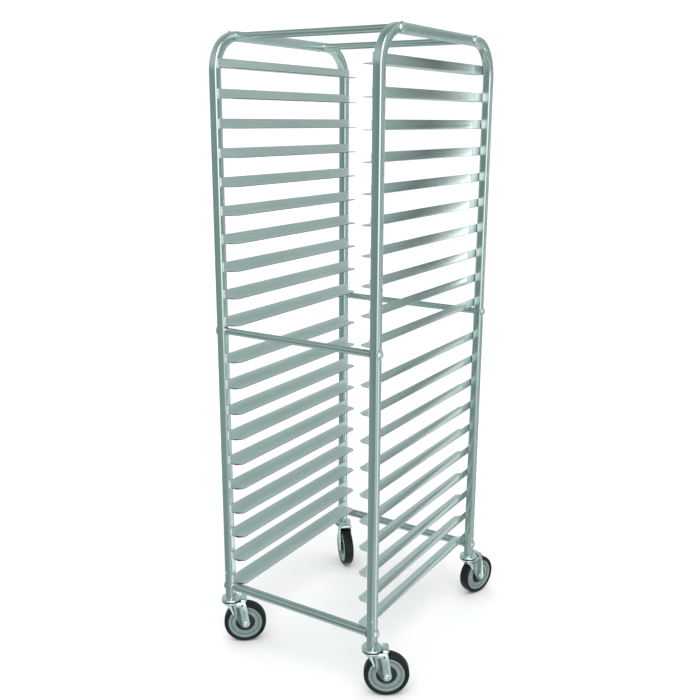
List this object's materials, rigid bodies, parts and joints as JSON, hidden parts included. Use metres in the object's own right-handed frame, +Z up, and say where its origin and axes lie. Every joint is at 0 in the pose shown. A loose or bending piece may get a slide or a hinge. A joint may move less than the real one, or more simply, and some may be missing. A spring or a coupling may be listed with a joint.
{
  "type": "sheet pan rack",
  "caption": "Tall open sheet pan rack: two bent square-tube side frames, round crossbars, paired angle slides and swivel casters with plain wheels.",
  "frame": {"origin": "on the floor, under the middle of the whole object's extents with the casters as they stand; the rack's own middle is 33.8 mm towards -X and 37.1 mm towards -Y", "axes": "+Z up, +X to the right as seen from the front loading end, +Y from the front loading end to the rear"},
  "size_m": [0.6187, 0.7653, 1.7768],
  "materials": {
    "frame_tube": "mill-finish extruded square tube, fine lengthwise die lines, satin",
    "crossbar_tube": "drawn round tube, smooth satin",
    "slide_angle": "mill-finish angle, light lengthwise rub marks",
    "caster_plating": "bright zinc-plated pressed steel",
    "wheel_rubber": "moulded black tyre on a pale grey-green disc, matt"
  },
  "bodies": {
    "rack": {"side_frame_left": "frame_tube", "side_frame_right": "frame_tube", "crossbar_top_front": "crossbar_tube", "crossbar_top_rear": "crossbar_tube", "crossbar_middle_front": "crossbar_tube", "crossbar_middle_rear": "crossbar_tube", "crossbar_bottom_front": "crossbar_tube", "crossbar_bottom_rear": "crossbar_tube", "slide_left_01": "slide_angle", "slide_right_01": "slide_angle", "slide_left_02": "slide_angle", "slide_right_02": "slide_angle", "slide_left_03": "slide_angle", "slide_right_03": "slide_angle", "slide_left_04": "slide_angle", "slide_right_04": "slide_angle", "slide_left_05": "slide_angle", "slide_right_05": "slide_angle", "slide_left_06": "slide_angle", "slide_right_06": "slide_angle", "slide_left_07": "slide_angle", "slide_right_07": "slide_angle", "slide_left_08": "slide_angle", "slide_right_08": "slide_angle", "slide_left_09": "slide_angle", "slide_right_09": "slide_angle", "slide_left_10": "slide_angle", "slide_right_10": "slide_angle", "slide_left_11": "slide_angle", "slide_right_11": "slide_angle", "slide_left_12": "slide_angle", "slide_right_12": "slide_angle", "slide_left_13": "slide_angle", "slide_right_13": "slide_angle", "slide_left_14": "slide_angle", "slide_right_14": "slide_angle", "slide_left_15": "slide_angle", "slide_right_15": "slide_angle", "slide_left_16": "slide_angle", "slide_right_16": "slide_angle", "slide_left_17": "slide_angle", "slide_right_17": "slide_angle", "slide_left_18": "slide_angle", "slide_right_18": "slide_angle", "slide_left_19": "slide_angle", "slide_right_19": "slide_angle", "slide_left_20": "slide_angle", "slide_right_20": "slide_angle", "caster_front_left_stem": "caster_plating", "caster_front_right_stem": "caster_plating", "caster_rear_right_stem": "caster_plating", "caster_rear_left_stem": "caster_plating"},
    "front_left_fork": {"caster_front_left_fork": "caster_plating"},
    "front_left_wheel": {"caster_front_left_wheel": "wheel_rubber"},
    "front_right_fork": {"caster_front_right_fork": "caster_plating"},
    "front_right_wheel": {"caster_front_right_wheel": "wheel_rubber"},
    "rear_right_fork": {"caster_rear_right_fork": "caster_plating"},
    "rear_right_wheel": {"caster_rear_right_wheel": "wheel_rubber"},
    "rear_left_fork": {"caster_rear_left_fork": "caster_plating"},
    "rear_left_wheel": {"caster_rear_left_wheel": "wheel_rubber"}
  },
  "joints": [
    {"name": "front_left_swivel", "type": "hinge", "parent": "rack", "child": "front_left_fork", "pos_m": [-0.28145, -0.3546, 0.1387], "axis": [0, 0, 1], "continuous": true},
    {"name": "front_left_wheel_spin", "type": "hinge", "parent": "front_left_fork", "child": "front_left_wheel", "pos_m": [-0.24914, -0.32936, 0.0635], "axis": [-0.6157, 0.788, 0], "continuous": true},
    {"name": "front_right_swivel", "type": "hinge", "parent": "rack", "child": "front_right_fork", "pos_m": [0.21385, -0.3546, 0.1387], "axis": [0, 0, 1], "continuous": true},
    {"name": "front_right_wheel_spin", "type": "hinge", "parent": "front_right_fork", "child": "front_right_wheel", "pos_m": [0.24862, -0.33287, 0.0635], "axis": [-0.5299, 0.848, 0], "continuous": true},
    {"name": "rear_right_swivel", "type": "hinge", "parent": "rack", "child": "rear_right_fork", "pos_m": [0.21385, 0.2804, 0.1387], "axis": [0, 0, 1], "continuous": true},
    {"name": "rear_right_wheel_spin", "type": "hinge", "parent": "rear_right_fork", "child": "rear_right_wheel", "pos_m": [0.22787, 0.31893, 0.0635], "axis": [-0.9397, 0.342, 0], "continuous": true},
    {"name": "rear_left_swivel", "type": "hinge", "parent": "rack", "child": "rear_left_fork", "pos_m": [-0.28145, 0.2804, 0.1387], "axis": [0, 0, 1], "continuous": true},
    {"name": "rear_left_wheel_spin", "type": "hinge", "parent": "rear_left_fork", "child": "rear_left_wheel", "pos_m": [-0.25196, 0.25192, 0.0635], "axis": [0.6947, 0.7193, 0], "continuous": true}
  ]
}
